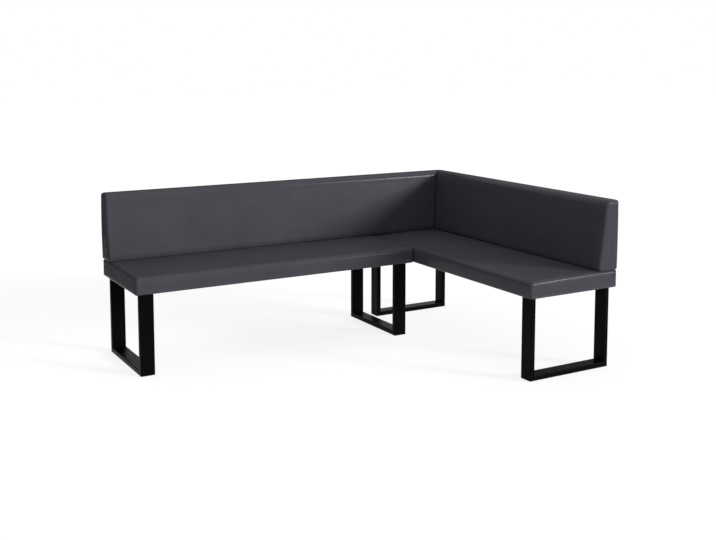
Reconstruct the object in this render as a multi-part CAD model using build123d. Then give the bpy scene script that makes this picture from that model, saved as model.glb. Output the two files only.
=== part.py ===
"""Corner bench: two upholstered wings in an L, wedge backs with a mitred corner, and four steel sled frames.

Millimetres. +X runs along the long wing towards the corner, +Y towards the backs, +Z up.
The origin is on the floor, at the centre of the outer plan.
"""
import math
import os

from build123d import *

# Outer plan and heights above the floor
long_side = 2045.0
short_side = 1485.0
seat_depth = 525.0
seat_end_inset = 5.0
seat_underside = 391.0
seat_front_thickness = 80.0
seat_rear_thickness = 85.0
back_height = 334.0
back_base_depth = 123.0
back_top_depth = 78.0

# Upholstery: edge radii, swell and hollow of the faces, cover and foam
seat_top_radius = 18.0
seat_bottom_radius = 8.0
seat_corner_radius = 12.0
seat_joint_radius = 12.0
hidden_edge_radius = 8.0
seat_front_swell = 3.0
back_front_top_radius = 30.0
back_end_top_radius = 16.0
back_rear_top_radius = 12.0
back_front_bottom_radius = 16.0
back_bottom_radius = 10.0
back_corner_radius = 12.0
back_front_hollow = 4.0
back_end_swell = 2.0
cover_thickness = 1.5
cover_lip = 25.0
side_foam = 12.0
back_front_foam = 22.0
back_top_foam = 18.0
back_mitre_foam = 6.0

# Timber of the seats
rail_height = 40.0
rail_width = 45.0
end_rail_width = 80.0
deck_thickness = 10.0
long_cross_rail_count = 3
short_cross_rail_count = 2

# Timber of the backs
rear_panel_thickness = 9.0
front_panel_thickness = 6.0
back_bottom_rail_height = 30.0
back_top_rail_height = 25.0
rib_thickness = 18.0
long_rib_count = 5
short_rib_count = 4

# Sled frames of flat steel tube, with a flat bar on top
tube_width = 70.0
tube_thickness = 24.0
tube_wall = 2.0
tube_corner_radius = 3.0
top_bar_thickness = 4.0
frame_depth_inset = 27.0
frame_outer_inset = 23.0
frame_inner_inset = 33.5
glide_diameter = 24.0
glide_height = 2.0
glide_from_end = 30.0

# Fasteners and joining plates
bolt_diameter = 8.0
bolt_head_diameter = 16.0
bolt_head_height = 5.0
bolt_socket_radius = 3.0
bolt_socket_depth = 2.5
socket_side_count = 6
insert_diameter = 12.0
insert_length = 15.0
bolt_tip = 3.0
frame_bolt_from_end = 90.0
back_bolt_from_rear = 36.0
back_bolt_from_end = 260.0
long_back_bolt_count = 4
short_back_bolt_count = 3
plate_length = 62.0
plate_width = 60.0
plate_thickness = 4.0
plate_from_edge = 150.0
plate_screw_from_joint = 22.5
plate_screw_spacing = 36.0
screw_diameter = 5.0
screw_head_diameter = 9.0
screw_head_height = 2.5
screw_length = 30.0

# Clearances
joint_gap = 0.6
foam_clearance = 0.3
lining_clearance = 0.5
thread_clearance = 0.15
hole_clearance = 0.5
blind_hole_clearance = 2.0
edge_blend = 0.05
overcut = 50.0

# Places that follow from the sizes above
left_plane = -long_side / 2
right_plane = long_side / 2
front_plane = -short_side / 2
rear_plane = short_side / 2
seat_front_height = seat_underside + seat_front_thickness
seat_rear_height = seat_underside + seat_rear_thickness
back_top_height = seat_rear_height + back_height
timber_base = seat_underside + cover_thickness
deck_base = timber_base + rail_height
deck_top = deck_base + deck_thickness
timber_inset = cover_thickness + side_foam
back_timber_base = seat_rear_height + cover_thickness
back_timber_top = back_top_height - cover_thickness - back_top_foam
back_slope = (back_base_depth - back_top_depth) / back_height
top_bar_base = seat_underside - top_bar_thickness
slope_stretch = math.hypot(1.0, back_slope)
panel_front = -cover_thickness - rear_panel_thickness
face_inset = back_front_hollow + cover_thickness + back_front_foam


class Wing:
    """One wing in its own frame: x from the free end to the corner, y zero at the rear and negative to the
    front, z up. The short wing is the mirror image of the long one, turned a quarter round the corner."""

    def __init__(self, name, side, seat_end, cross_rail_count, rib_count, back_bolt_count):
        self.name = name
        self.side = side
        self.seat_start = seat_end_inset
        self.seat_end = seat_end
        self.cross_rail_count = cross_rail_count
        self.rib_count = rib_count
        self.back_bolt_count = back_bolt_count

    def place(self, shape):
        """Put a shape of the wing's own frame in its place in the bench."""
        if self.name == "long":
            return Pos(left_plane, rear_plane, 0) * shape
        return Pos(right_plane, front_plane, 0) * Rot(0, 0, 90) * mirror(shape, about=Plane.XZ)

    def frame_starts(self):
        """Lower x of the outer and of the inner sled frame."""
        return (self.seat_start + frame_outer_inset,
                self.seat_end - frame_inner_inset - tube_width)

    def frame_bolt_places(self):
        """Plan points of the bolts that hold the two sled frames."""
        front = -seat_depth + frame_depth_inset + frame_bolt_from_end
        rear = -frame_depth_inset - frame_bolt_from_end
        return [(start + tube_width / 2, y) for start in self.frame_starts() for y in (front, rear)]

    def back_bolt_places(self):
        """Plan points of the bolts that hold the back on the seat."""
        first = self.seat_start + back_bolt_from_end
        pitch = (self.seat_end - back_bolt_from_end - first) / (self.back_bolt_count - 1)
        return [(first + k * pitch, -back_bolt_from_rear) for k in range(self.back_bolt_count)]


long_wing = Wing("long", long_side, long_side - seat_depth - joint_gap,
                 long_cross_rail_count, long_rib_count, long_back_bolt_count)
short_wing = Wing("short", short_side, short_side,
                  short_cross_rail_count, short_rib_count, short_back_bolt_count)
wings = (long_wing, short_wing)


def block(x0, x1, y0, y1, z0, z1):
    """A box between two corners."""
    centre = ((x0 + x1) / 2, (y0 + y1) / 2, (z0 + z1) / 2)
    return Pos(*centre) * Box(x1 - x0, y1 - y0, z1 - z0)


def pins(places, radius, z0, z1):
    """Upright cylinders at plan points, as one shape."""
    return Part() + [Pos(x, y, (z0 + z1) / 2) * Cylinder(radius, z1 - z0) for x, y in places]


def rounded(face, corners):
    """Round the corners of a flat face, each given as a point and a radius."""
    for point, radius in corners:
        vertex = face.vertices().sort_by_distance(point)[0]
        face = fillet(vertex, radius)
    return face


def polygon(*points):
    """A flat face with straight sides."""
    return make_face(Polyline(*points, close=True))


def along_x(section, x0, x1):
    """A prism along x with a (y, z) section."""
    return Pos(x0, 0, 0) * extrude(Plane.YZ * section, x1 - x0, dir=(1, 0, 0))


def to_front(side, depth):
    """A prism from behind the rear plane to beyond a depth in front of it, with an (x, z) section."""
    return Pos(0, overcut, 0) * extrude(Plane.XZ * side, depth + 2 * overcut, dir=(0, -1, 0))


def upright(plan, z0, z1):
    """A prism from z0 to z1 with an (x, y) section."""
    return Pos(0, 0, z0) * extrude(plan, z1 - z0, dir=(0, 0, 1))


def seat_section(inset):
    """Seat outline across the wing: flat below, swelled front, a top that falls in an arc to the front and is
    flat at the rear, where the back stands."""
    low = seat_underside + inset
    rear_top = seat_rear_height - inset
    front_top = seat_front_height - inset
    front = -seat_depth + seat_front_swell + inset
    middle = (-seat_depth + inset, (low + front_top) / 2)
    outline = [Line((-inset, low), (front, low)),
               ThreePointArc((front, low), middle, (front, front_top)),
               TangentArc((-back_base_depth, rear_top), (front, front_top), tangent=(-1, 0)),
               Line((-back_base_depth, rear_top), (-inset, rear_top)),
               Line((-inset, rear_top), (-inset, low))]
    return rounded(make_face(outline), [((-inset, low), hidden_edge_radius - inset),
                                        ((front, low), seat_bottom_radius - inset),
                                        ((front, front_top), seat_top_radius - inset),
                                        ((-inset, rear_top), hidden_edge_radius - inset)])


def seat_form(wing, inset):
    """Seat pad as a closed form, drawn in by inset on every side."""
    x0 = wing.seat_start + inset
    x1 = wing.seat_end - inset
    low = seat_underside + inset - edge_blend
    top = seat_rear_height - inset + edge_blend
    body = along_x(seat_section(inset), x0 - overcut, x1 + overcut)
    side = polygon((x0, low), (x1, low), (x1, top), (x0, top))
    side = rounded(side, [((x0, low), seat_bottom_radius - inset), ((x1, low), hidden_edge_radius - inset),
                          ((x1, top), seat_joint_radius - inset), ((x0, top), seat_top_radius - inset)])
    front = -seat_depth + inset - edge_blend
    rear = -inset + edge_blend
    start = x0 - edge_blend
    end = x1 + edge_blend
    plan = polygon((start, front), (end, front), (end, rear), (start, rear))
    plan = rounded(plan, [((start, front), seat_corner_radius - inset),
                          ((end, front), seat_joint_radius - inset),
                          ((end, rear), hidden_edge_radius - inset),
                          ((start, rear), seat_corner_radius - inset)])
    return body & to_front(side, seat_depth) & upright(plan, low - overcut, top + overcut)


def front_line(z, inset):
    """y of the sloping front of a back at a height, drawn in square to the slope by inset."""
    return -(back_base_depth - (z - seat_rear_height) * back_slope) + inset * slope_stretch


def back_section(inset):
    """Back outline across the wing: upright rear, sloping and slightly hollow front."""
    low = seat_rear_height + inset
    top = back_top_height - inset
    middle_z = (low + top) / 2
    bottom_front = (front_line(low, inset), low)
    top_front = (front_line(top, inset), top)
    hollow = (front_line(middle_z, inset + back_front_hollow), middle_z)
    outline = [Line((-inset, low), bottom_front),
               ThreePointArc(bottom_front, hollow, top_front),
               Line(top_front, (-inset, top)),
               Line((-inset, top), (-inset, low))]
    return rounded(make_face(outline), [((-inset, low), back_bottom_radius - inset),
                                        (bottom_front, back_front_bottom_radius - inset),
                                        (top_front, back_front_top_radius - inset),
                                        ((-inset, top), back_rear_top_radius - inset)])


def mitre_prism(wing, inset):
    """Upright prism over the plan of a back, cut off along the mitre of the corner."""
    reach = back_base_depth + overcut
    corner = wing.side - joint_gap / 2 * math.sqrt(2) - inset * math.sqrt(2)
    plan = polygon((-overcut, overcut), (corner + overcut, overcut),
                   (corner - reach, -reach), (-overcut, -reach))
    return upright(plan, seat_underside, back_top_height + overcut)


def back_form(wing, inset):
    """Back as a closed form, drawn in by inset on every side, with a swelled free end and a mitred corner
    end."""
    low = seat_rear_height + inset - edge_blend
    top = back_top_height - inset + edge_blend
    end = wing.side + overcut
    body = along_x(back_section(inset), -overcut, end)
    edge = back_end_swell + inset
    outline = [Line((edge, low), (end, low)), Line((end, low), (end, top)), Line((end, top), (edge, top)),
               ThreePointArc((edge, top), (inset, (low + top) / 2), (edge, low))]
    side = rounded(make_face(outline), [((edge, low), back_bottom_radius - inset),
                                        ((edge, top), back_end_top_radius - inset)])
    base = low - overcut
    front = front_line(base, inset) - edge_blend
    rear = overcut
    start = inset - edge_blend
    plan = polygon((start, front), (end, front), (end, rear), (start, rear))
    plan = rounded(plan, [((start, front), back_corner_radius - inset)])
    lean = Vector(0, back_slope, 1)
    corner = Pos(0, 0, base) * extrude(plan, (top - base + overcut) * lean.length, dir=lean)
    return body & to_front(side, back_base_depth) & corner & mitre_prism(wing, inset)


def seat_cover(wing):
    """Faux leather over the pad, turned in under the edge as a lip, with holes for the back bolts and
    plates."""
    skin = seat_form(wing, 0) - seat_form(wing, cover_thickness)
    mouth = block(wing.seat_start + cover_lip, wing.seat_end - cover_lip,
                  -seat_depth + cover_lip, -cover_lip, seat_underside - overcut, timber_base)
    skin -= mouth
    return skin - pins(wing.back_bolt_places(), bolt_diameter / 2 + hole_clearance,
                       deck_top, back_top_height)


def seat_lining(wing):
    """Dust lining let into the mouth of the cover, with holes for the bolts."""
    edge = cover_lip + lining_clearance
    sheet = block(wing.seat_start + edge, wing.seat_end - edge,
                  -seat_depth + edge, -edge, seat_underside, timber_base)
    sheet -= pins(wing.frame_bolt_places(), bolt_diameter / 2 + hole_clearance, 0, deck_top)
    return sheet - pins(wing.back_bolt_places(), bolt_head_diameter / 2 + hole_clearance, 0, deck_top)


def seat_timber_span(wing):
    """Outer faces of the seat timber: low x, high x, front y, rear y."""
    return (wing.seat_start + timber_inset, wing.seat_end - timber_inset,
            -seat_depth + seat_front_swell + timber_inset, -timber_inset)


def seat_foam(wing):
    """Foam over the deck and round the timber."""
    x0, x1, front, rear = seat_timber_span(wing)
    core = block(x0, x1, front, rear, seat_underside, deck_top)
    mouth = block(wing.seat_start + cover_lip, wing.seat_end - cover_lip,
                  -seat_depth + cover_lip, -cover_lip, seat_underside, deck_top)
    foam = seat_form(wing, cover_thickness + foam_clearance) - core - mouth
    return foam - pins(wing.back_bolt_places(), bolt_diameter / 2 + hole_clearance,
                       deck_base, back_top_height)


def seat_deck(wing):
    """Deck board on the rails."""
    x0, x1, front, rear = seat_timber_span(wing)
    deck = block(x0, x1, front, rear, deck_base, deck_top)
    return deck - pins(wing.back_bolt_places(), bolt_diameter / 2 + hole_clearance, timber_base, deck_top)


def seat_front_rail(wing):
    """Front rail of the seat, under the deck."""
    x0, x1, front, _ = seat_timber_span(wing)
    return block(x0, x1, front, front + rail_width, timber_base, deck_base)


def seat_rear_rail(wing):
    """Rear rail of the seat, drilled for the back bolts."""
    x0, x1, _, rear = seat_timber_span(wing)
    rail = block(x0, x1, rear - rail_width, rear, timber_base, deck_base)
    return rail - pins(wing.back_bolt_places(), bolt_diameter / 2 + hole_clearance, timber_base, deck_base)


def seat_cross_rails(wing):
    """Wide end rails that take the frame bolts, and narrow rails evenly between them."""
    x0, x1, front, rear = seat_timber_span(wing)
    y0 = front + rail_width
    y1 = rear - rail_width
    rails = [block(x0, x0 + end_rail_width, y0, y1, timber_base, deck_base),
             block(x1 - end_rail_width, x1, y0, y1, timber_base, deck_base)]
    pitch = (x1 - x0) / (wing.cross_rail_count + 1)
    for k in range(wing.cross_rail_count):
        middle = x0 + (k + 1) * pitch
        rails.append(block(middle - rail_width / 2, middle + rail_width / 2, y0, y1, timber_base, deck_base))
    sockets = pins(wing.frame_bolt_places(), insert_diameter / 2 + thread_clearance,
                   timber_base, timber_base + insert_length + bolt_tip + blind_hole_clearance)
    return Part() + [rail - sockets for rail in rails]


def back_cover(wing):
    """Faux leather over the back, with holes for the bolts from the seat."""
    skin = back_form(wing, 0) - back_form(wing, cover_thickness)
    return skin - pins(wing.back_bolt_places(), bolt_diameter / 2 + hole_clearance,
                       seat_underside, back_timber_base)


def back_timber(wing, points):
    """A timber length along the back with a (y, z) section, from the end foam to the mitre foam."""
    start = back_end_swell + timber_inset
    return along_x(polygon(*points), start, wing.side) & mitre_prism(wing, cover_thickness + back_mitre_foam)


def wedge(low, high, rear, inset):
    """Four-sided section between an upright rear line and the slope drawn in by inset."""
    return [(rear, low), (front_line(low, inset), low), (front_line(high, inset), high), (rear, high)]


def back_foam(wing):
    """Foam on the front, top, free end and mitre of the back."""
    core = wedge(seat_rear_height - overcut, back_timber_top, overcut, face_inset)
    return back_form(wing, cover_thickness + foam_clearance) - back_timber(wing, core)


def back_rear_panel(wing):
    """Upright panel behind the ribs."""
    low = back_timber_base + back_bottom_radius
    return back_timber(wing, [(-cover_thickness, low), (panel_front, low),
                              (panel_front, back_timber_top), (-cover_thickness, back_timber_top)])


def back_front_panel(wing):
    """Sloping panel that carries the front foam."""
    inner = face_inset + front_panel_thickness
    return back_timber(wing, [(front_line(back_timber_base, face_inset), back_timber_base),
                              (front_line(back_timber_base, inner), back_timber_base),
                              (front_line(back_timber_top, inner), back_timber_top),
                              (front_line(back_timber_top, face_inset), back_timber_top)])


def back_inner_wedge(low, high):
    """Section of the timber between the two panels of a back."""
    return wedge(low, high, panel_front, face_inset + front_panel_thickness)


def back_bottom_rail(wing):
    """Bottom rail of the back, with sockets for the back inserts."""
    rail = back_timber(wing, back_inner_wedge(back_timber_base, back_timber_base + back_bottom_rail_height))
    return rail - pins(wing.back_bolt_places(), insert_diameter / 2 + thread_clearance,
                       back_timber_base, back_timber_base + insert_length + bolt_tip + blind_hole_clearance)


def back_top_rail(wing):
    """Top rail of the back."""
    return back_timber(wing, back_inner_wedge(back_timber_top - back_top_rail_height, back_timber_top))


def back_ribs(wing):
    """Wedge ribs between the rails, the first at the free end and the last clear of the mitre."""
    section = back_inner_wedge(back_timber_base + back_bottom_rail_height,
                               back_timber_top - back_top_rail_height)
    first = back_end_swell + timber_inset
    last = wing.side - back_base_depth - rib_thickness
    pitch = (last - first) / (wing.rib_count - 1)
    return Part() + [along_x(polygon(*section), first + k * pitch, first + k * pitch + rib_thickness)
                     for k in range(wing.rib_count)]


def tube(start, end):
    """Hollow flat tube between two points of the frame's own plane, wide across it."""
    outer = RectangleRounded(tube_width, tube_thickness, tube_corner_radius)
    inner = RectangleRounded(tube_width - 2 * tube_wall, tube_thickness - 2 * tube_wall,
                             tube_corner_radius - tube_wall)
    run = Vector(*end) - Vector(*start)
    section = Plane(origin=start, x_dir=(1, 0, 0), z_dir=run) * (outer - inner)
    return extrude(section, run.length, dir=run)


def sled_frame(x0):
    """Front leg, rear leg, foot bar and flat top bar of a sled frame that starts at x0. The tubes are mitred
    at the foot."""
    front = -seat_depth + frame_depth_inset
    rear = -frame_depth_inset
    low = glide_height
    high = top_bar_base
    half = tube_thickness / 2
    middle = x0 + tube_width / 2
    inner_front = front + tube_thickness
    inner_rear = rear - tube_thickness
    inner_low = low + tube_thickness
    runs = {
        "front_leg": (tube((middle, front + half, low), (middle, front + half, high)),
                      [(front, low), (inner_front, inner_low), (inner_front, high), (front, high)]),
        "rear_leg": (tube((middle, rear - half, low), (middle, rear - half, high)),
                     [(rear, low), (inner_rear, inner_low), (inner_rear, high), (rear, high)]),
        "foot_bar": (tube((middle, front, low + half), (middle, rear, low + half)),
                     [(front, low), (inner_front, inner_low), (inner_rear, inner_low), (rear, low)]),
    }
    members = {name: run & along_x(polygon(*mitre), x0, x0 + tube_width)
               for name, (run, mitre) in runs.items()}
    members["top_bar"] = block(x0, x0 + tube_width, front, rear, top_bar_base, seat_underside)
    return members


def bolt(place, shank_base, shank_top):
    """Bolt with its head under shank_base."""
    x, y = place
    head = pins([place], bolt_head_diameter / 2, shank_base - bolt_head_height, shank_base)
    head_base = shank_base - bolt_head_height
    outline = RegularPolygon(bolt_socket_radius, socket_side_count)
    socket = Pos(x, y, 0) * upright(outline, head_base, head_base + bolt_socket_depth)
    return head - socket + pins([place], bolt_diameter / 2, shank_base, shank_top)


def insert(place, base):
    """Threaded insert, open at both ends."""
    return (pins([place], insert_diameter / 2, base, base + insert_length)
            - pins([place], bolt_diameter / 2 + thread_clearance, base, base + insert_length))


def frame_bolts(wing):
    """Bolts through the top bars into the end rails."""
    return [bolt(place, top_bar_base, timber_base + insert_length + bolt_tip)
            for place in wing.frame_bolt_places()]


def frame_inserts(wing):
    """Inserts of the frame bolts, in the end rails."""
    return [insert(place, timber_base) for place in wing.frame_bolt_places()]


def back_bolts(wing):
    """Long bolts through the rear rail of the seat into the bottom rail of the back."""
    return [bolt(place, timber_base, back_timber_base + insert_length + bolt_tip)
            for place in wing.back_bolt_places()]


def back_inserts(wing):
    """Inserts of the back bolts, in the bottom rail of the back."""
    return [insert(place, back_timber_base) for place in wing.back_bolt_places()]


def glides(wing):
    """Round glides under both ends of the foot bars."""
    ends = (-seat_depth + frame_depth_inset + glide_from_end, -frame_depth_inset - glide_from_end)
    places = [(start + tube_width / 2, y) for start in wing.frame_starts() for y in ends]
    return [pins([place], glide_diameter / 2, 0, glide_height) for place in places]


def plate_places():
    """Plan points of the middles of the joining plates, on the joint of the two seats, in the long wing's
    frame."""
    joint = long_wing.seat_end + joint_gap / 2
    return [(joint, -plate_from_edge), (joint, -seat_depth + plate_from_edge)]


def plate_screw_places():
    """Plan points of the screws of the joining plates."""
    return [(x + side * plate_screw_from_joint, y + across * plate_screw_spacing / 2)
            for x, y in plate_places() for side in (-1, 1) for across in (-1, 1)]


def joining_plates():
    """Flat steel plates under the joint of the two seats."""
    holes = pins(plate_screw_places(), screw_diameter / 2 + hole_clearance, 0, seat_underside)
    return [block(x - plate_length / 2, x + plate_length / 2, y - plate_width / 2, y + plate_width / 2,
                  seat_underside - plate_thickness, seat_underside) - holes for x, y in plate_places()]


def joining_screws():
    """Screws through the joining plates into the timber of both seats."""
    base = seat_underside - plate_thickness
    return [pins([place], screw_head_diameter / 2, base - screw_head_height, base)
            + pins([place], screw_diameter / 2, base, base + screw_length) for place in plate_screw_places()]


def screw_holes(clearance):
    """Holes for the joining screws, up from the underside of the seats, in their place in the bench."""
    return long_wing.place(pins(plate_screw_places(), screw_diameter / 2 + clearance, 0,
                                seat_underside - plate_thickness + screw_length + blind_hole_clearance))


seat_makers = {"cover": seat_cover, "foam": seat_foam, "deck": seat_deck, "front_rail": seat_front_rail,
               "rear_rail": seat_rear_rail, "cross_rails": seat_cross_rails, "lining": seat_lining}
back_makers = {"cover": back_cover, "foam": back_foam, "rear_panel": back_rear_panel,
               "front_panel": back_front_panel, "bottom_rail": back_bottom_rail,
               "top_rail": back_top_rail, "ribs": back_ribs}
fastener_makers = {"frame_bolts": frame_bolts, "frame_inserts": frame_inserts, "back_bolts": back_bolts,
                   "back_inserts": back_inserts, "glides": glides}
frame_names = {"long": ("left_frame", "middle_frame"), "short": ("front_frame", "corner_frame")}


def make_nodes():
    """All named pieces of the bench in their places."""
    nodes = {}
    for wing in wings:
        for piece, maker in seat_makers.items():
            nodes[f"{wing.name}_seat_{piece}"] = wing.place(maker(wing))
        for piece, maker in back_makers.items():
            nodes[f"{wing.name}_back_{piece}"] = wing.place(maker(wing))
        bolt_holes = pins(wing.frame_bolt_places(), bolt_diameter / 2 + hole_clearance, 0, seat_underside)
        for frame_name, x0 in zip(frame_names[wing.name], wing.frame_starts()):
            for member, shape in sled_frame(x0).items():
                if member == "top_bar":
                    shape -= bolt_holes
                nodes[f"{frame_name}_{member}"] = wing.place(shape)
    for name, maker in fastener_makers.items():
        nodes[name] = Compound(children=[wing.place(piece) for wing in wings for piece in maker(wing)])
    nodes["seat_joining_plates"] = Compound(children=[long_wing.place(plate) for plate in joining_plates()])
    nodes["joining_screws"] = Compound(children=[long_wing.place(screw) for screw in joining_screws()])
    for name in ("long_seat_cover", "short_seat_cover", "long_seat_lining", "short_seat_lining"):
        nodes[name] -= screw_holes(hole_clearance)
    for name in ("long_seat_cross_rails", "short_seat_front_rail"):
        nodes[name] -= screw_holes(thread_clearance)
    return nodes


os.makedirs("parts", exist_ok=True)
for node_name, node_shape in make_nodes().items():
    export_step(node_shape, f"parts/{node_name}.step")
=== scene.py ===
import math

import bpy
import numpy as np
from mathutils import Euler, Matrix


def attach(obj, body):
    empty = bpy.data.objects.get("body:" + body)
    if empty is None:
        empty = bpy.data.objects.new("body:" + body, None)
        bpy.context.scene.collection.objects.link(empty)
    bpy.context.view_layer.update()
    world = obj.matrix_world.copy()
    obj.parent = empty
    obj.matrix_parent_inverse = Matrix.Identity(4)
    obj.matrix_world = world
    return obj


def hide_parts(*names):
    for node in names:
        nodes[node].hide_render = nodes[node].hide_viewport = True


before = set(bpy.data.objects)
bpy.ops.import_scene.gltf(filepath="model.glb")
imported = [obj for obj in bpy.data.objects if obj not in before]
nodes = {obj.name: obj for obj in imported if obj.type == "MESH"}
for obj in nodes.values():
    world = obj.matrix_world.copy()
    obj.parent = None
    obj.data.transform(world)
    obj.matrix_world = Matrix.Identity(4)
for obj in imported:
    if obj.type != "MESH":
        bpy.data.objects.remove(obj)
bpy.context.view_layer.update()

# Sizes of the bench, in metres

LONG_SIDE = 2.045
SHORT_SIDE = 1.485
SEAT_DEPTH = 0.525
SEAT_END_INSET = 0.005
SEAT_UNDERSIDE = 0.391
SEAT_TOP = 0.476
SEAT_FRONT_FALL = 0.005
SEAT_FRONT_SWELL = 0.003
BACK_TOP = 0.810
BACK_BASE_DEPTH = 0.123
BACK_TOP_DEPTH = 0.078
BACK_FRONT_HOLLOW = 0.003
BACK_END_SWELL = 0.002
BACK_EDGE_DEPTH = 0.024
BACK_EDGE_DROP = 0.028
BACK_FOOT_DEPTH = 0.014
BACK_FOOT_RISE = 0.036
JOINT_GAP = 0.0006
LIP = 0.024
LIP_TURN = 0.012
LINING_ROOM = 0.003

# Roundings of the pads, in metres

SEAT_EDGE_RADIUS = 0.018
SEAT_HIDDEN_RADIUS = 0.008
SEAT_CORNER_RADIUS = 0.012
SEAT_END_TOP_RADIUS = 0.017
SEAT_END_UNDER_RADIUS = 0.0075
SEAT_JOINT_RADIUS = 0.012
BACK_REAR_FOOT_RADIUS = 0.010
BACK_REAR_TOP_RADIUS = 0.012
BACK_CORNER_RADIUS = 0.012
BACK_END_TOP_RADIUS = 0.016
BACK_END_FOOT_RADIUS = 0.0095
BACK_MITRE_RADIUS = 0.006

# Grid of the pads: spacing of the points, and the lines to which the rows of an end shrink

ARC_STEPS = 9
RUN_SPACING = 0.014
ROW_SPACING = 0.018
END_SHARES = [0.86, 0.6, 0.36, 0.17]
SEAM_SHARES = [0.075, 0.060, 0.045]
SEAM_DEPTH = 0.0005
SEAT_CENTRE_INSET = 0.04
BACK_CENTRE_FOOT = 0.05
BACK_CENTRE_TOP = 0.04
UNDERSIDE_MARGIN = 0.0005

# How the pads are stuffed: where the faces are free to swell, and where the cover is pulled tight

FACE_LEAN = (0.5, 0.9)
END_FREE = (0.012, 0.07)
SEAT_SWELL_REACH = 0.06
SEAT_FREE_REACH = 0.06
SEAT_EDGE_FREE = 0.05
BACK_EDGE_FREE = 0.03
BACK_END_MARGIN = 0.045
PULLED_REACH = 0.03
PULLED_END = (0.01, 0.04)
BACK_PULLED_FROM = 0.04
BACK_PULLED_FULL = 0.14
HELD_LEVELS = 10
CLOTH_QUALITY = 4
CLOTH_MASS = 0.4
INFLATE_FRAMES = 20
INFLATE_PRESSURE = 0.5
INFLATE_RISE = 0.0022
INFLATE_EVEN_PASSES = 12

# Faux leather: colours as seen on a screen, grain and gloss

LEATHER_DEEP = (74, 73, 80)
LEATHER_PALE = (80, 79, 86)
LEATHER_GROOVE = (58, 57, 64)
LEATHER_PULLED = (86, 85, 92)
GROOVE_SHARE = 0.35
PULLED_SHARE = 0.25
GRAIN_SCALE = 620.0
GRAIN_GROOVE = 0.16
GRAIN_WEIGHT = 0.6
WANDER_SCALE = 220.0
WANDER_REACH = 0.0022
CREASE_SCALE = 90.0
CREASE_WEIGHT = 0.3
PULLED_RELIEF = 0.45
LEATHER_CLOUD_SCALE = 5.0
LEATHER_ROUGH = (0.25, 0.28)
PULLED_ROUGH = -0.09
UPWARD_LEAN = (0.8, 0.97)
UPWARD_ROUGH = 0.42
LEATHER_GLOSS = 0.08
LEATHER_BUMP = 0.25
LEATHER_BUMP_DEPTH = 0.00012

# Other finishes

CLOUD_RANGE = (0.3, 0.7)
COATING_GLOSS_RANGE = 0.04
COATING_BUMP_DEPTH = 0.0002
PLATING_RELIEF_SIZE = 900.0
PLATING_CLOUD_SIZE = 60.0
PLATING_COLOUR_RANGE = (0.35, 0.65)
PLATING_GLOSS_RANGE = 0.06
PLATING_BUMP = 0.2
PLATING_BUMP_DEPTH = 0.0001
WOOD_DRAWN_OUT = (0.12, 0.12, 1.0)
WOOD_BUMP = 0.25
WOOD_BUMP_DEPTH = 0.0003
PLY_THICKNESS = 0.0015
PLY_LINE = (0.86, 0.94)
PLY_LINE_SHARE = 0.5
PLY_LINE_COLOUR = (96, 66, 42)
LINING_DOT_SCALE = 420.0
LINING_DOT = (0.15, 0.4)
LINING_FIBRE_SIZE = 1400.0
LINING_CLOUD_SIZE = 30.0
LINING_FIBRE = (0.35, 0.7)
LINING_FIBRE_SHARE = 0.5
LINING_BUMP = 0.3
LINING_BUMP_DEPTH = 0.0002

# Camera, lights and floor

CAMERA_PLACE = (-2.4094, -4.2140, 1.4856)
CAMERA_YAW = 30.041
CAMERA_PITCH = 6.039
CAMERA_LENS = 50.94
CAMERA_SENSOR = 36.0
CAMERA_SHIFT = -0.15
CAMERA_SIGHT = 200.0
KEY_FROM = (0.60, -0.75, 0.28)
KEY_STRENGTH = 2.0
KEY_SPREAD = 13.0
AMBIENT = 0.41
FLOOR_GREY = (0.70, 0.70, 0.70, 1.0)
FLOOR_SHADOW = 0.5
FLOOR_GLOW = 0.82
FLOOR_REACH = 30.0
FLOOR_LINES = 13
FLAG_LINES = (8, 4)
FLAG_BLACK = (0.02, 0.02, 0.02, 1.0)
BLACK = (0.0, 0.0, 0.0, 1.0)
WHITE = (1.0, 1.0, 1.0, 1.0)


# Surfaces

def soft_step(low, high, x):
    """Smooth ramp: 0 below low, 1 above high, and 3t^2 - 2t^3 between them."""
    t = np.clip((x - low) / (high - low), 0.0, 1.0)
    return t * t * (3.0 - 2.0 * t)


def unit(vectors):
    """The same vectors with a length of one."""
    return vectors / np.linalg.norm(vectors, axis=-1, keepdims=True)


def rounded_outline(corners, reaches, spacing):
    """Closed outline with rounded corners. A corner is a quarter of an ellipse that leaves the run before it
    at its first reach a and joins the run after it at its second reach b:
    corner + a(1 - sin t) u + b(1 - cos t) v. Each run between two corners is divided evenly. Returns points,
    outward normals and the distance of every point from the nearest rounding."""
    corners = np.asarray(corners, float)
    t = np.linspace(0, math.pi / 2, ARC_STEPS)[:, None]
    before = unit(np.roll(corners, 1, axis=0) - corners)
    after = unit(np.roll(corners, -1, axis=0) - corners)
    arcs, spokes = [], []
    for corner, u, v, (a, b) in zip(corners, before, after, reaches):
        arcs.append(corner + a * (1 - np.sin(t)) * u + b * (1 - np.cos(t)) * v)
        course = unit(b * np.sin(t) * v - a * np.cos(t) * u)
        spokes.append(np.stack([course[:, 1], -course[:, 0]], axis=1))
    points, normals, room = [], [], []
    for k, (arc, spoke) in enumerate(zip(arcs, spokes)):
        run = arcs[(k + 1) % len(arcs)][0] - arc[-1]
        length = np.linalg.norm(run)
        steps = max(2, 2 * int(round(length / spacing / 2)))
        share = np.arange(1, steps)[:, None] / steps
        points += [arc, arc[-1] + run * share]
        normals += [spoke, np.repeat(spoke[-1:], steps - 1, axis=0)]
        room += [np.zeros(ARC_STEPS), np.minimum(share, 1 - share)[:, 0] * length]
    return np.concatenate(points), np.concatenate(normals), np.concatenate(room)


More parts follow.
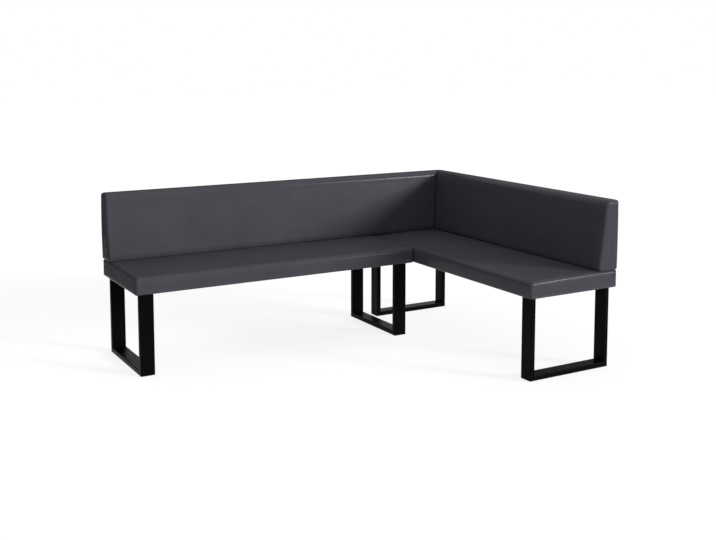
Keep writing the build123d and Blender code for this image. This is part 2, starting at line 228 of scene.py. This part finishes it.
def end_rows(seam):
    """Rows that close one end of a pad, from its middle outwards: how far each row is drawn in towards the
    centre line (share), how far round the quarter turn it lies (angle), and how deep a seam presses it."""
    share = list(END_SHARES)
    press = [0.0] * len(END_SHARES)
    if seam:
        share += SEAM_SHARES
        press += [0.0, SEAM_DEPTH, 0.0]
    turn = np.linspace(math.pi / 2, 0, ARC_STEPS + 1)
    return (np.array(share + [0.0] * len(turn)), np.array([math.pi / 2] * len(share) + list(turn)),
            np.array(press + [0.0] * len(turn)))


def pad_surface(outline, normals, centre_line, start, end, end_radii, seams):
    """Closed pad: an outline carried along the wing. Near each end the outline is drawn in by r(1 - cos a)
    while it advances by r sin a, so every edge of the end is a quarter round of its own radius r, and the end
    is closed by rows that shrink towards a centre line. start and end give the place of both ends for a depth
    and height. Returns rows x points x (along, depth, height)."""
    first, second = np.asarray(centre_line, float)
    axis = second - first
    share = np.clip((outline - first) @ axis / (axis @ axis), 0, 1)
    centre = first + share[:, None] * axis
    closing = []
    for radius, seam in zip(end_radii, seams):
        pull, angle, press = end_rows(seam)
        inset = radius * (1 - np.cos(angle))[:, None]
        flat = outline[None] - normals[None] * inset[..., None]
        flat = flat + (centre[None] - flat) * pull[:, None, None]
        closing.append((flat, radius * (1 - np.sin(angle))[:, None] + press[:, None]))
    (near_rows, near_by), (far_rows, far_by) = closing
    near = start(*outline.T) + end_radii[0]
    far = end(*outline.T) - end_radii[1]
    count = max(2, int(round(float(np.mean(far - near)) / ROW_SPACING)))
    t = np.arange(1, count)[:, None] / count
    along = np.concatenate([start(near_rows[..., 0], near_rows[..., 1]) + near_by, near + (far - near) * t,
                            (end(far_rows[..., 0], far_rows[..., 1]) - far_by)[::-1]])
    section = np.concatenate([near_rows, np.repeat(outline[None], count - 1, axis=0), far_rows[::-1]])
    return np.concatenate([along[..., None], section], axis=2)


def ring_quads(rows, points):
    """Quads of a grid that is closed round its points, with each open end closed by a ladder across its last
    ring: point k is joined to the point as far the other way round."""
    index = np.arange(rows * points).reshape(rows, points)
    turned = np.roll(index, -1, axis=1)
    walls = np.stack([index[:-1], turned[:-1], turned[1:], index[1:]], axis=2).reshape(-1, 4)
    k = np.arange(points // 2 - 1)
    ladder = np.stack([k, points - 1 - k, points - 2 - k, k + 1], axis=1)
    return np.concatenate([walls, ladder, (ladder + (rows - 1) * points)[:, ::-1]])


def flat_quads(rows, points):
    """Quads of an open grid."""
    index = np.arange(rows * points).reshape(rows, points)
    return np.stack([index[:-1, :-1], index[1:, :-1], index[1:, 1:], index[:-1, 1:]], axis=2).reshape(-1, 4)


def outward(points, quads):
    """The same quads, turned round where the volume they enclose comes out negative."""
    a, b, c, d = (points[quads[:, k]] for k in range(4))
    volume = np.einsum("ij,ij->", a, np.cross(b, c)) + np.einsum("ij,ij->", a, np.cross(c, d))
    return quads if volume > 0 else quads[:, ::-1]


def new_piece(name, points, quads, material):
    """Mesh object at the origin with smooth faces."""
    mesh = bpy.data.meshes.new(name)
    mesh.from_pydata(points, [], quads)
    mesh.polygons.foreach_set("use_smooth", np.ones(len(quads), bool))
    mesh.materials.append(material)
    mesh.update()
    piece = bpy.data.objects.new(name, mesh)
    bpy.context.scene.collection.objects.link(piece)
    return piece


def write_points(piece, points):
    """Puts whole arrays of places into a mesh."""
    piece.data.vertices.foreach_set("co", np.asarray(points, np.float32).ravel())
    piece.data.update()


def read_points(mesh):
    """Places of all vertices as one array."""
    flat = np.empty(len(mesh.vertices) * 3, np.float32)
    mesh.vertices.foreach_get("co", flat)
    return flat.reshape(-1, 3).astype(float)


def long_wing(local):
    """Along, depth and height on the long wing become x, y and z."""
    along, depth, height = np.moveaxis(local, -1, 0)
    return np.stack([along - LONG_SIDE / 2, SHORT_SIDE / 2 - depth, height], axis=-1)


def short_wing(local):
    """Along, depth and height on the short wing become y, x and z."""
    along, depth, height = np.moveaxis(local, -1, 0)
    return np.stack([LONG_SIDE / 2 - depth, along - SHORT_SIDE / 2, height], axis=-1)


# Stuffing

def even_out(moves, passes):
    """Moves on a closed grid of rows, each averaged with its four neighbours as often as given:
    (2m + a + b) / 4 round the rows, then along them."""
    for _ in range(passes):
        moves = (2 * moves + np.roll(moves, 1, axis=1) + np.roll(moves, -1, axis=1)) / 4
        last = np.concatenate([moves[:1], moves[:-1]])
        following = np.concatenate([moves[1:], moves[-1:]])
        moves = (2 * moves + last + following) / 4
    return moves


def inflate(piece, free):
    """Cloth under gentle pressure: points that are not free are held by the timber, the others swell. The
    moves are evened out and drawn back by one share, so that the largest is the wanted rise, and by how free
    each point is."""
    rest = read_points(piece.data)
    held = piece.vertex_groups.new(name="held")
    level = np.round((1 - free.ravel()) * HELD_LEVELS).astype(int)
    for step in range(1, HELD_LEVELS + 1):
        held.add(np.flatnonzero(level == step).tolist(), step / HELD_LEVELS, "REPLACE")
    cloth = piece.modifiers.new("inflate", "CLOTH")
    cloth.settings.quality = CLOTH_QUALITY
    cloth.settings.mass = CLOTH_MASS
    cloth.settings.use_pressure = True
    cloth.settings.uniform_pressure_force = INFLATE_PRESSURE
    cloth.settings.effector_weights.gravity = 0
    cloth.settings.vertex_group_mass = held.name
    cloth.collision_settings.use_collision = False
    cloth.collision_settings.use_self_collision = False
    cloth.point_cache.frame_start = 1
    cloth.point_cache.frame_end = INFLATE_FRAMES
    for step in range(1, INFLATE_FRAMES + 1):
        bpy.context.scene.frame_set(step)
    swelled = piece.evaluated_get(bpy.context.evaluated_depsgraph_get())
    move = read_points(swelled.data) - rest
    piece.modifiers.remove(cloth)
    piece.vertex_groups.remove(held)
    bpy.context.scene.frame_set(1)
    move = even_out(move.reshape(*free.shape, 3), INFLATE_EVEN_PASSES)
    most = np.linalg.norm(move, axis=2).max()
    move *= min(1.0, INFLATE_RISE / most) * free[..., None]
    write_points(piece, rest + move.reshape(-1, 3))


def finish_pad(name, grid, place, free, stretch, covers):
    """Makes a pad from its grid, swells it, smooths it one level, puts it on the root body and hides the
    pieces it covers.
    """
    rows, points = grid.shape[:2]
    local = grid.reshape(-1, 3)
    quads = ring_quads(rows, points)
    quads = outward(place(local), quads)
    piece = new_piece(name, place(local), quads, leather)
    pulled = piece.data.attributes.new("stretch", "FLOAT", "POINT")
    pulled.data.foreach_set("value", stretch.ravel().astype(np.float32))
    inflate(piece, free)
    smooth = piece.modifiers.new("smooth", "SUBSURF")
    smooth.levels = 1
    smooth.render_levels = 1
    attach(piece, "root")
    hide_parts(*covers)


def seat_pad(wing, place, seat_end, covers):
    """Seat pad: a rounded block whose front swells by s(1 - h^2) and whose top falls to the front by f q^2, h
    being the height from the middle and q the way from the back to the front edge."""
    front = SEAT_DEPTH - SEAT_FRONT_SWELL
    hidden = (SEAT_HIDDEN_RADIUS, SEAT_HIDDEN_RADIUS)
    outline, normals, room = rounded_outline(
        [(0, SEAT_UNDERSIDE), (front, SEAT_UNDERSIDE), (front, SEAT_TOP), (0, SEAT_TOP)],
        [hidden, hidden, (SEAT_EDGE_RADIUS, SEAT_EDGE_RADIUS), hidden], RUN_SPACING)
    depth, height = outline.T
    lift = (height - SEAT_UNDERSIDE) / (SEAT_TOP - SEAT_UNDERSIDE)
    swell = SEAT_FRONT_SWELL * (1 - (2 * lift - 1) ** 2) * soft_step(front - SEAT_SWELL_REACH, front, depth)
    way = np.clip((depth - BACK_BASE_DEPTH) / (front - BACK_BASE_DEPTH), 0, 1)
    outline = np.stack([depth + swell, height - SEAT_FRONT_FALL * way ** 2 * lift], axis=1)
    up = normals[:, 1]
    sideways = normals[:, 0] ** 2
    level_edges = np.where(up > 0, SEAT_END_TOP_RADIUS, SEAT_END_UNDER_RADIUS)
    free_end = sideways * SEAT_CORNER_RADIUS + level_edges * up ** 2
    joint_end = np.where((up > 0) | (normals[:, 0] > FACE_LEAN[0]), SEAT_JOINT_RADIUS, SEAT_END_UNDER_RADIUS)

    def start(depth, height):
        return np.full_like(depth, SEAT_END_INSET)

    def end(depth, height):
        return np.full_like(depth, seat_end)

    middle = (SEAT_UNDERSIDE + SEAT_TOP) / 2
    centre_line = [(SEAT_CENTRE_INSET, middle), (front - SEAT_CENTRE_INSET, middle)]
    grid = pad_surface(outline, normals, centre_line, start, end, (free_end, joint_end), (True, False))
    along, depth, height = np.moveaxis(grid, 2, 0)
    from_end = np.minimum(along - SEAT_END_INSET, seat_end - along)
    edge = np.minimum(from_end, np.minimum(depth, SEAT_DEPTH - depth))
    under = height < SEAT_UNDERSIDE + UNDERSIDE_MARGIN
    grid[..., 2] += np.where(under, LINING_ROOM * soft_step(LIP - LIP_TURN, LIP, edge), 0.0)
    before_back = soft_step(BACK_BASE_DEPTH, BACK_BASE_DEPTH + SEAT_FREE_REACH, outline[:, 0])
    faces = soft_step(*FACE_LEAN, up) * before_back + soft_step(*FACE_LEAN, normals[:, 0])
    free = faces[None] * soft_step(0.0, SEAT_EDGE_FREE, room)[None] * soft_step(*END_FREE, from_end)
    stretch = 1 - soft_step(0.0, PULLED_REACH, room)[None] * soft_step(*PULLED_END, along - SEAT_END_INSET)
    finish_pad(wing + "_seat_pad", grid, place, free, stretch, covers)


def back_front(height):
    """Height on a back, from -1 at its foot to 1 at its top, and the depth of its straight front there."""
    h = np.clip(2 * (height - SEAT_TOP) / (BACK_TOP - SEAT_TOP) - 1, -1, 1)
    return h, BACK_BASE_DEPTH - (BACK_BASE_DEPTH - BACK_TOP_DEPTH) * (h + 1) / 2


def back_pad(wing, place, side, covers):
    """Back pad: a wedge with an upright rear and a sloping front that is hollowed by s(1 - h^2), h being the
    height from the middle. The top edge of the front is a long soft rounding. The free end swells by
    s(1 - h^2), and the corner end is cut along the mitre: along = side - depth."""
    outline, normals, room = rounded_outline(
        [(0, SEAT_TOP), (BACK_BASE_DEPTH, SEAT_TOP), (BACK_TOP_DEPTH, BACK_TOP), (0, BACK_TOP)],
        [(BACK_REAR_FOOT_RADIUS, BACK_REAR_FOOT_RADIUS), (BACK_FOOT_DEPTH, BACK_FOOT_RISE),
         (BACK_EDGE_DROP, BACK_EDGE_DEPTH), (BACK_REAR_TOP_RADIUS, BACK_REAR_TOP_RADIUS)], RUN_SPACING)
    depth, height = outline.T
    h, front = back_front(height)
    hollow = BACK_FRONT_HOLLOW * (1 - h ** 2) * np.clip(depth / front, 0, 1)
    outline = np.stack([depth - hollow, height], axis=1)
    up = normals[:, 1]
    sideways = normals[:, 0] ** 2
    level_edges = np.where(up > 0, BACK_END_TOP_RADIUS, BACK_END_FOOT_RADIUS)
    free_end = sideways * BACK_CORNER_RADIUS + level_edges * up ** 2
    mitre_end = np.full(len(outline), BACK_MITRE_RADIUS)

    def start(depth, height):
        h, front = back_front(height)
        inwards = soft_step(0.0, BACK_END_MARGIN, front - depth)
        return BACK_END_SWELL * (1 - (1 - h ** 2) * inwards)

    def end(depth, height):
        return side - depth - JOINT_GAP / 2 * math.sqrt(2)

    centre_line = [(BACK_CENTRE_FOOT, SEAT_TOP + BACK_CENTRE_FOOT),
                   (BACK_CENTRE_TOP, BACK_TOP - BACK_CENTRE_TOP)]
    grid = pad_surface(outline, normals, centre_line, start, end, (free_end, mitre_end), (True, False))
    along, depth, height = np.moveaxis(grid, 2, 0)
    from_end = np.minimum(along, end(depth, height) - along)
    front_free = soft_step(*FACE_LEAN, normals[:, 0]) * soft_step(0.0, BACK_EDGE_FREE, room)
    free = (front_free + soft_step(*FACE_LEAN, up))[None] * soft_step(*END_FREE, from_end)
    stretch = 1 - soft_step(0.0, PULLED_REACH, room)[None] * soft_step(*PULLED_END, along)
    stretch *= soft_step(SEAT_TOP + BACK_PULLED_FROM, SEAT_TOP + BACK_PULLED_FULL, height)
    finish_pad(wing + "_back_pad", grid, place, free, stretch, covers)


# Finishes

class Finish:
    """A material or a shader group under construction: adds nodes and joins them."""

    def __init__(self, tree):
        self.tree = tree

    def add(self, kind, values=(), **settings):
        """New node with its settings, and with values or links on its inputs."""
        node = self.tree.nodes.new(kind)
        for key, value in settings.items():
            setattr(node, key, value)
        for key, value in dict(values).items():
            if isinstance(value, bpy.types.NodeSocket):
                self.tree.links.new(value, node.inputs[key])
            else:
                node.inputs[key].default_value = value
        return node

    def math(self, operation, *values):
        """Result of one calculation."""
        return self.add("ShaderNodeMath", enumerate(values), operation=operation).outputs[0]

    def ramp(self, value, low, high, to_low, to_high):
        """Straight ramp from one range of values to another, held at both ends."""
        node = self.add("ShaderNodeMapRange", {"Value": value, "From Min": low, "From Max": high,
                                               "To Min": to_low, "To Max": to_high})
        return node.outputs["Result"]

    def mix(self, factor, first, second):
        """Colour between two others."""
        node = self.add("ShaderNodeMix", {0: factor, 6: first, 7: second}, data_type="RGBA")
        return node.outputs[2]

    def bump(self, height, strength, distance):
        """Normal that follows a height."""
        return self.add("ShaderNodeBump", {"Height": height, "Strength": strength,
                                           "Distance": distance}).outputs["Normal"]


def new_finish(name):
    """Empty node material."""
    material = bpy.data.materials.new(name)
    material.use_nodes = True
    material.node_tree.nodes.clear()
    finish = Finish(material.node_tree)
    finish.material = material
    return finish


def close_finish(finish, values):
    """Principled shader with its values, joined to the output."""
    shader = finish.add("ShaderNodeBsdfPrincipled", values)
    finish.add("ShaderNodeOutputMaterial", {"Surface": shader.outputs["BSDF"]})
    return finish.material


def new_group(name, inputs, outputs):
    """Shader group with float inputs and the named outputs."""
    tree = bpy.data.node_groups.new(name, "ShaderNodeTree")
    for label, value in inputs.items():
        tree.interface.new_socket(label, in_out="INPUT", socket_type="NodeSocketFloat").default_value = value
    for label in outputs:
        tree.interface.new_socket(label, in_out="OUTPUT", socket_type="NodeSocketFloat")
    group = Finish(tree)
    group.given = group.add("NodeGroupInput").outputs
    return group


def use_group(finish, group, **values):
    """Outputs of a shader group placed in a finish with its own values."""
    return finish.add("ShaderNodeGroup", values, node_tree=group.tree).outputs


def relief_group():
    """Fine relief of a coated or moulded face: small bumps, and slow cloudiness."""
    group = new_group("fine_relief", {"Size": 400.0, "Cloud": 9.0}, ["Height", "Cloudiness"])
    place = group.add("ShaderNodeTexCoord").outputs["Object"]
    bumps = group.add("ShaderNodeTexNoise", {"Vector": place, "Scale": group.given["Size"], "Detail": 2.0,
                                             "Roughness": 0.55})
    cloud = group.add("ShaderNodeTexNoise", {"Vector": place, "Scale": group.given["Cloud"], "Detail": 4.0,
                                             "Roughness": 0.6})
    group.add("NodeGroupOutput", {"Height": bumps.outputs["Fac"], "Cloudiness": cloud.outputs["Fac"]})
    return group


def fibre_group():
    """Wood figure: noise drawn out along the pieces, with finer pores in it."""
    group = new_group("wood_figure", {"Figure": 22.0, "Pores": 260.0}, ["Figure", "Pores"])
    place = group.add("ShaderNodeTexCoord").outputs["Object"]
    drawn = group.add("ShaderNodeMapping", {"Vector": place, "Scale": WOOD_DRAWN_OUT}).outputs["Vector"]
    figure = group.add("ShaderNodeTexNoise", {"Vector": drawn, "Scale": group.given["Figure"], "Detail": 6.0,
                                              "Distortion": 0.8})
    pores = group.add("ShaderNodeTexNoise", {"Vector": drawn, "Scale": group.given["Pores"], "Detail": 2.0})
    group.add("NodeGroupOutput", {"Figure": figure.outputs["Fac"], "Pores": pores.outputs["Fac"]})
    return group


def srgb(*levels):
    """Colour from levels of 0 to 255 as they look on a screen."""
    level = np.array(levels, float) / 255
    linear = np.where(level <= 0.04045, level / 12.92, ((level + 0.055) / 1.055) ** 2.4)
    return (*linear.tolist(), 1.0)


def leather_finish():
    """Smooth anthracite faux leather: fine pebbled grain that is pulled flat over the edges, faint cloudiness,
    and a soft gloss that is duller on the faces turned up."""
    finish = new_finish("faux_leather")
    coordinates = finish.add("ShaderNodeTexCoord").outputs
    place = coordinates["Object"]
    upward = finish.add("ShaderNodeSeparateXYZ", {0: coordinates["Normal"]}).outputs["Z"]
    pulled = finish.add("ShaderNodeAttribute", attribute_name="stretch").outputs["Fac"]
    wander = finish.add("ShaderNodeTexNoise", {"Vector": place, "Scale": WANDER_SCALE, "Detail": 1.0})
    offset = finish.add("ShaderNodeVectorMath", {0: wander.outputs["Color"], 1: (WANDER_REACH,) * 3},
                        operation="MULTIPLY")
    bent = finish.add("ShaderNodeVectorMath", {0: place, 1: offset.outputs[0]}, operation="ADD").outputs[0]
    pebble = finish.add("ShaderNodeTexVoronoi", {"Vector": bent, "Scale": GRAIN_SCALE, "Randomness": 0.9},
                        feature="DISTANCE_TO_EDGE").outputs["Distance"]
    pebble = finish.ramp(pebble, 0.0, GRAIN_GROOVE, 0.0, 1.0)
    creases = finish.add("ShaderNodeTexNoise", {"Vector": place, "Scale": CREASE_SCALE, "Detail": 3.0})
    height = finish.math("ADD", finish.math("MULTIPLY", pebble, GRAIN_WEIGHT),
                         finish.math("MULTIPLY", creases.outputs["Fac"], CREASE_WEIGHT))
    height = finish.math("MULTIPLY", height, finish.ramp(pulled, 0.0, 1.0, 1.0, PULLED_RELIEF))
    cloud = finish.add("ShaderNodeTexNoise", {"Vector": place, "Scale": LEATHER_CLOUD_SCALE, "Detail": 5.0,
                                              "Roughness": 0.6}).outputs["Fac"]
    colour = finish.mix(finish.ramp(cloud, *CLOUD_RANGE, 0.0, 1.0), srgb(*LEATHER_DEEP), srgb(*LEATHER_PALE))
    colour = finish.mix(finish.ramp(pebble, 0.0, 1.0, GROOVE_SHARE, 0.0), colour, srgb(*LEATHER_GROOVE))
    colour = finish.mix(finish.math("MULTIPLY", pulled, PULLED_SHARE), colour, srgb(*LEATHER_PULLED))
    rough = finish.math("ADD", finish.ramp(cloud, *CLOUD_RANGE, *LEATHER_ROUGH),
                        finish.math("MULTIPLY", pulled, PULLED_ROUGH))
    rough = finish.math("ADD", rough, finish.ramp(upward, *UPWARD_LEAN, 0.0, UPWARD_ROUGH))
    return close_finish(finish, {"Base Color": colour, "Roughness": rough, "Specular IOR Level": LEATHER_GLOSS,
                                 "Normal": finish.bump(height, LEATHER_BUMP, LEATHER_BUMP_DEPTH)})


def coated_finish(name, low, high, rough, bump, specular, size):
    """Painted or moulded face: fine relief in the height and cloudiness in colour and gloss."""
    finish = new_finish(name)
    relief = use_group(finish, RELIEF, Size=size)
    colour = finish.mix(finish.ramp(relief["Cloudiness"], *CLOUD_RANGE, 0.0, 1.0), low, high)
    gloss = finish.ramp(relief["Cloudiness"], *CLOUD_RANGE, rough - COATING_GLOSS_RANGE,
                        rough + COATING_GLOSS_RANGE)
    return close_finish(finish, {"Base Color": colour, "Roughness": gloss, "Specular IOR Level": specular,
                                 "Normal": finish.bump(relief["Height"], bump, COATING_BUMP_DEPTH)})


def metal_finish(name, low, high, rough):
    """Plated metal: cloudy plating with fine tool marks."""
    finish = new_finish(name)
    relief = use_group(finish, RELIEF, Size=PLATING_RELIEF_SIZE, Cloud=PLATING_CLOUD_SIZE)
    colour = finish.mix(finish.ramp(relief["Cloudiness"], *PLATING_COLOUR_RANGE, 0.0, 1.0), low, high)
    gloss = finish.ramp(relief["Cloudiness"], *CLOUD_RANGE, rough - PLATING_GLOSS_RANGE,
                        rough + PLATING_GLOSS_RANGE)
    return close_finish(finish, {"Base Color": colour, "Metallic": 1.0, "Roughness": gloss,
                                 "Normal": finish.bump(relief["Height"], PLATING_BUMP, PLATING_BUMP_DEPTH)})


def wood_finish(name, low, high, layers):
    """Raw wood: drawn-out figure with pores, and for plywood the thin dark lines between its layers."""
    finish = new_finish(name)
    wood = use_group(finish, FIBRE)
    colour = finish.mix(finish.ramp(wood["Figure"], *CLOUD_RANGE, 0.0, 1.0), low, high)
    if layers:
        place = finish.add("ShaderNodeTexCoord").outputs["Object"]
        up = finish.add("ShaderNodeSeparateXYZ", {0: place}).outputs["Z"]
        stripe = finish.math("FRACT", finish.math("MULTIPLY", up, 1 / PLY_THICKNESS))
        line = finish.ramp(stripe, *PLY_LINE, 0.0, PLY_LINE_SHARE)
        colour = finish.mix(line, colour, srgb(*PLY_LINE_COLOUR))
    return close_finish(finish, {"Base Color": colour, "Roughness": 0.75, "Specular IOR Level": 0.2,
                                 "Normal": finish.bump(wood["Pores"], WOOD_BUMP, WOOD_BUMP_DEPTH)})


def lining_finish():
    """Black non-woven lining: short fibres pressed in a grid of small dots."""
    finish = new_finish("lining")
    place = finish.add("ShaderNodeTexCoord").outputs["Object"]
    relief = use_group(finish, RELIEF, Size=LINING_FIBRE_SIZE, Cloud=LINING_CLOUD_SIZE)
    dots = finish.add("ShaderNodeTexVoronoi", {"Vector": place, "Scale": LINING_DOT_SCALE, "Randomness": 0.0})
    pressed = finish.ramp(dots.outputs["Distance"], *LINING_DOT, 0.0, 1.0)
    fibre = finish.ramp(relief["Height"], *LINING_FIBRE, 0.0, LINING_FIBRE_SHARE)
    colour = finish.mix(pressed, srgb(14, 14, 15), srgb(30, 30, 32))
    colour = finish.mix(fibre, colour, srgb(44, 44, 46))
    return close_finish(finish, {"Base Color": colour, "Roughness": 0.9, "Specular IOR Level": 0.15,
                                 "Normal": finish.bump(pressed, LINING_BUMP, LINING_BUMP_DEPTH)})


def seen_directly(finish):
    """1 for the camera, reflections and what shows through, and 0 for the light on other faces."""
    seen = finish.add("ShaderNodeLightPath").outputs
    mirrored = finish.math("ADD", seen["Is Glossy Ray"], seen["Is Transmission Ray"])
    return finish.math("MINIMUM", finish.math("ADD", seen["Is Camera Ray"], mirrored), 1.0)


def floor_finish():
    """Pale studio floor that looks white to the camera and in reflections and keeps the bench's shadow."""
    finish = new_finish("studio_floor")
    direct = seen_directly(finish)
    glow = finish.math("MULTIPLY", direct, FLOOR_GLOW)
    matt = finish.add("ShaderNodeBsdfDiffuse", {"Color": FLOOR_GREY})
    black = finish.add("ShaderNodeBsdfDiffuse", {"Color": BLACK})
    share = finish.ramp(direct, 0.0, 1.0, 0.0, 1.0 - FLOOR_SHADOW)
    paler = finish.add("ShaderNodeMixShader", {0: share, 1: matt.outputs[0], 2: black.outputs[0]})
    white = finish.add("ShaderNodeEmission", {"Color": WHITE, "Strength": glow})
    blend = finish.add("ShaderNodeAddShader", {0: paler.outputs[0], 1: white.outputs[0]})
    finish.add("ShaderNodeOutputMaterial", {"Surface": blend.outputs[0]})
    return finish.material


# Studio

def make_camera():
    """Camera at the photograph's viewing angle."""
    lens = bpy.data.cameras.new("photo_camera")
    lens.lens = CAMERA_LENS
    lens.sensor_width = CAMERA_SENSOR
    lens.shift_y = CAMERA_SHIFT
    lens.clip_end = CAMERA_SIGHT
    camera = bpy.data.objects.new("photo_camera", lens)
    camera.location = CAMERA_PLACE
    camera.rotation_euler = Euler((math.radians(90 - CAMERA_PITCH), 0.0, math.radians(-CAMERA_YAW)))
    bpy.context.scene.collection.objects.link(camera)
    bpy.context.scene.camera = camera


def make_floor():
    """Flat floor, a grid of squares about the bench."""
    reach = np.linspace(-FLOOR_REACH, FLOOR_REACH, FLOOR_LINES)
    x, y = np.meshgrid(reach, reach, indexing="ij")
    points = np.stack([x, y, np.zeros_like(x)], axis=2).reshape(-1, 3)
    new_piece("floor", points, flat_quads(*x.shape), floor_finish())


def make_key():
    """Large soft key far off to the front right, so that its light falls evenly on the whole bench."""
    lamp = bpy.data.lights.new("key", "SUN")
    lamp.energy = KEY_STRENGTH
    lamp.angle = math.radians(KEY_SPREAD)
    key = bpy.data.objects.new("key", lamp)
    x, y, z = KEY_FROM
    key.rotation_euler = Euler((math.atan2(math.hypot(x, y), z), 0.0, math.atan2(x, -y)))
    bpy.context.scene.collection.objects.link(key)


def make_flag(name, first, second, low, high):
    """Black flag, an upright flat panel between two plan points that only reflections see: it keeps faces at
    a grazing angle from mirroring the white surroundings."""
    across, upright = FLAG_LINES
    t, z = np.meshgrid(np.linspace(0, 1, across), np.linspace(low, high, upright), indexing="ij")
    plan = np.asarray(first) + t[..., None] * (np.asarray(second) - np.asarray(first))
    points = np.concatenate([plan, z[..., None]], axis=2).reshape(-1, 3)
    flag = new_piece(name, points, flat_quads(*z.shape), flag_cloth)
    flag.visible_camera = False
    flag.visible_diffuse = False
    flag.visible_transmission = False
    flag.visible_shadow = False


def make_world():
    """White surroundings for the camera and for reflections, and a lower even light on everything else."""
    world = bpy.data.worlds.new("studio")
    world.use_nodes = True
    world.node_tree.nodes.clear()
    finish = Finish(world.node_tree)
    strength = finish.ramp(seen_directly(finish), 0.0, 1.0, AMBIENT, 1.0)
    light = finish.add("ShaderNodeBackground", {"Color": WHITE, "Strength": strength})
    finish.add("ShaderNodeOutputWorld", {"Surface": light.outputs[0]})
    bpy.context.scene.world = world


RELIEF = relief_group()
FIBRE = fibre_group()
leather = leather_finish()
flag_cloth = close_finish(new_finish("flag_cloth"), {"Base Color": FLAG_BLACK, "Roughness": 0.9})
finishes = {
    "black_steel": coated_finish("black_powder_coat", srgb(5, 5, 5), srgb(9, 9, 10),
                                 rough=0.38, bump=0.25, specular=0.03, size=520.0),
    "glide_plastic": coated_finish("glide_plastic", srgb(20, 20, 21), srgb(30, 30, 31),
                                   rough=0.5, bump=0.15, specular=0.3, size=900.0),
    "zinc_steel": metal_finish("zinc_plating", (0.50, 0.50, 0.52, 1.0), (0.68, 0.68, 0.69, 1.0), rough=0.34),
    "brass": metal_finish("brass", (0.55, 0.38, 0.14, 1.0), (0.72, 0.52, 0.22, 1.0), rough=0.3),
    "timber": wood_finish("spruce_timber", srgb(178, 142, 98), srgb(206, 174, 128), layers=False),
    "plywood": wood_finish("plywood", srgb(170, 132, 88), srgb(196, 160, 114), layers=True),
    "lining": lining_finish(),
    "faux_leather": leather,
    "foam": coated_finish("foam", srgb(206, 198, 176), srgb(222, 214, 194),
                          rough=0.9, bump=0.5, specular=0.1, size=700.0),
}

# Which finish each CAD piece takes

FINISH_OF = {
    "_leg": "black_steel", "_foot_bar": "black_steel", "_top_bar": "black_steel",
    "_bolts": "zinc_steel", "_screws": "zinc_steel", "_plates": "zinc_steel", "_inserts": "brass",
    "glides": "glide_plastic", "_rail": "timber", "_rails": "timber", "_ribs": "timber",
    "_deck": "plywood", "_panel": "plywood", "_lining": "lining", "_cover": "faux_leather", "_foam": "foam",
}
for name, node in nodes.items():
    finish = finishes[next(FINISH_OF[ending] for ending in FINISH_OF if name.endswith(ending))]
    for entry in node.material_slots:
        entry.material = finish
    if not node.material_slots:
        node.data.materials.append(finish)

make_camera()
make_world()
make_floor()
make_key()
make_flag("side_flag", first=(-1.36, -0.6), second=(-1.36, 5.0), low=0.0, high=1.6)
make_flag("rear_flag", first=(-3.0, 1.2), second=(4.5, 1.2), low=0.5, high=1.4)

seat_pad("long", long_wing, LONG_SIDE - SEAT_DEPTH - JOINT_GAP, ("long_seat_cover", "long_seat_foam"))
seat_pad("short", short_wing, SHORT_SIDE, ("short_seat_cover", "short_seat_foam"))
back_pad("long", long_wing, LONG_SIDE, ("long_back_cover", "long_back_foam"))
back_pad("short", short_wing, SHORT_SIDE, ("short_back_cover", "short_back_foam"))

bpy.context.scene.view_settings.view_transform = "Standard"
